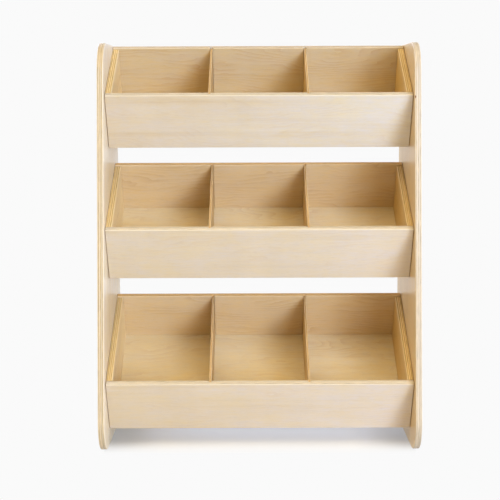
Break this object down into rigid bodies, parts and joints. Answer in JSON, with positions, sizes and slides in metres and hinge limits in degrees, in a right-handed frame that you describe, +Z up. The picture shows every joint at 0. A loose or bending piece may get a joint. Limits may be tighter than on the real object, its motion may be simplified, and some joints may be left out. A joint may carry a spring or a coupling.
{
  "type": "toy shelf",
  "caption": "Low birch plywood toy shelf: open trays tilted towards a child between side panels, parted by thin dividers that lift out of grooves.",
  "frame": {"origin": "on the floor, under the middle of the shelf's width and depth", "axes": "+Z up, -Y towards the child in front, +X to the right as seen from the front"},
  "size_m": [0.75, 0.3942, 0.9542],
  "materials": {
    "side_birch_ply": "clear satin lacquer",
    "wall_birch_ply": "clear satin lacquer",
    "base_birch_ply": "clear satin lacquer",
    "divider_birch_ply": "clear satin lacquer",
    "bolt_zinc": "bright zinc plate",
    "insert_zinc": "yellow zinc plate"
  },
  "bodies": {
    "shelf": {"side_panel_left": "side_birch_ply", "side_panel_right": "side_birch_ply", "bottom_tray_front": "wall_birch_ply", "bottom_tray_back": "wall_birch_ply", "bottom_tray_end_left": "wall_birch_ply", "bottom_tray_end_right": "wall_birch_ply", "bottom_tray_base": "base_birch_ply", "middle_tray_front": "wall_birch_ply", "middle_tray_back": "wall_birch_ply", "middle_tray_end_left": "wall_birch_ply", "middle_tray_end_right": "wall_birch_ply", "middle_tray_base": "base_birch_ply", "top_tray_front": "wall_birch_ply", "top_tray_back": "wall_birch_ply", "top_tray_end_left": "wall_birch_ply", "top_tray_end_right": "wall_birch_ply", "top_tray_base": "base_birch_ply", "bolt_bottom_left_front": "bolt_zinc", "bolt_bottom_left_rear": "bolt_zinc", "bolt_bottom_right_front": "bolt_zinc", "bolt_bottom_right_rear": "bolt_zinc", "bolt_middle_left_front": "bolt_zinc", "bolt_middle_left_rear": "bolt_zinc", "bolt_middle_right_front": "bolt_zinc", "bolt_middle_right_rear": "bolt_zinc", "bolt_top_left_front": "bolt_zinc", "bolt_top_left_rear": "bolt_zinc", "bolt_top_right_front": "bolt_zinc", "bolt_top_right_rear": "bolt_zinc", "insert_bottom_left_front": "insert_zinc", "insert_bottom_left_rear": "insert_zinc", "insert_bottom_right_front": "insert_zinc", "insert_bottom_right_rear": "insert_zinc", "insert_middle_left_front": "insert_zinc", "insert_middle_left_rear": "insert_zinc", "insert_middle_right_front": "insert_zinc", "insert_middle_right_rear": "insert_zinc", "insert_top_left_front": "insert_zinc", "insert_top_left_rear": "insert_zinc", "insert_top_right_front": "insert_zinc", "insert_top_right_rear": "insert_zinc"},
    "bottom_divider_left": {"bottom_tray_divider_left": "divider_birch_ply"},
    "bottom_divider_right": {"bottom_tray_divider_right": "divider_birch_ply"},
    "middle_divider_left": {"middle_tray_divider_left": "divider_birch_ply"},
    "middle_divider_right": {"middle_tray_divider_right": "divider_birch_ply"},
    "top_divider_left": {"top_tray_divider_left": "divider_birch_ply"},
    "top_divider_right": {"top_tray_divider_right": "divider_birch_ply"}
  },
  "joints": [
    {"name": "bottom_divider_left_lift", "type": "slide", "parent": "shelf", "child": "bottom_divider_left", "axis": [0, -0.5, 0.866], "range_m": [0, 0.13]},
    {"name": "bottom_divider_right_lift", "type": "slide", "parent": "shelf", "child": "bottom_divider_right", "axis": [0, -0.5, 0.866], "range_m": [0, 0.13]},
    {"name": "middle_divider_left_lift", "type": "slide", "parent": "shelf", "child": "middle_divider_left", "axis": [0, -0.5, 0.866], "range_m": [0, 0.1]},
    {"name": "middle_divider_right_lift", "type": "slide", "parent": "shelf", "child": "middle_divider_right", "axis": [0, -0.5, 0.866], "range_m": [0, 0.1]},
    {"name": "top_divider_left_lift", "type": "slide", "parent": "shelf", "child": "top_divider_left", "axis": [0, -0.5, 0.866], "range_m": [0, 0.13]},
    {"name": "top_divider_right_lift", "type": "slide", "parent": "shelf", "child": "top_divider_right", "axis": [0, -0.5, 0.866], "range_m": [0, 0.13]}
  ]
}
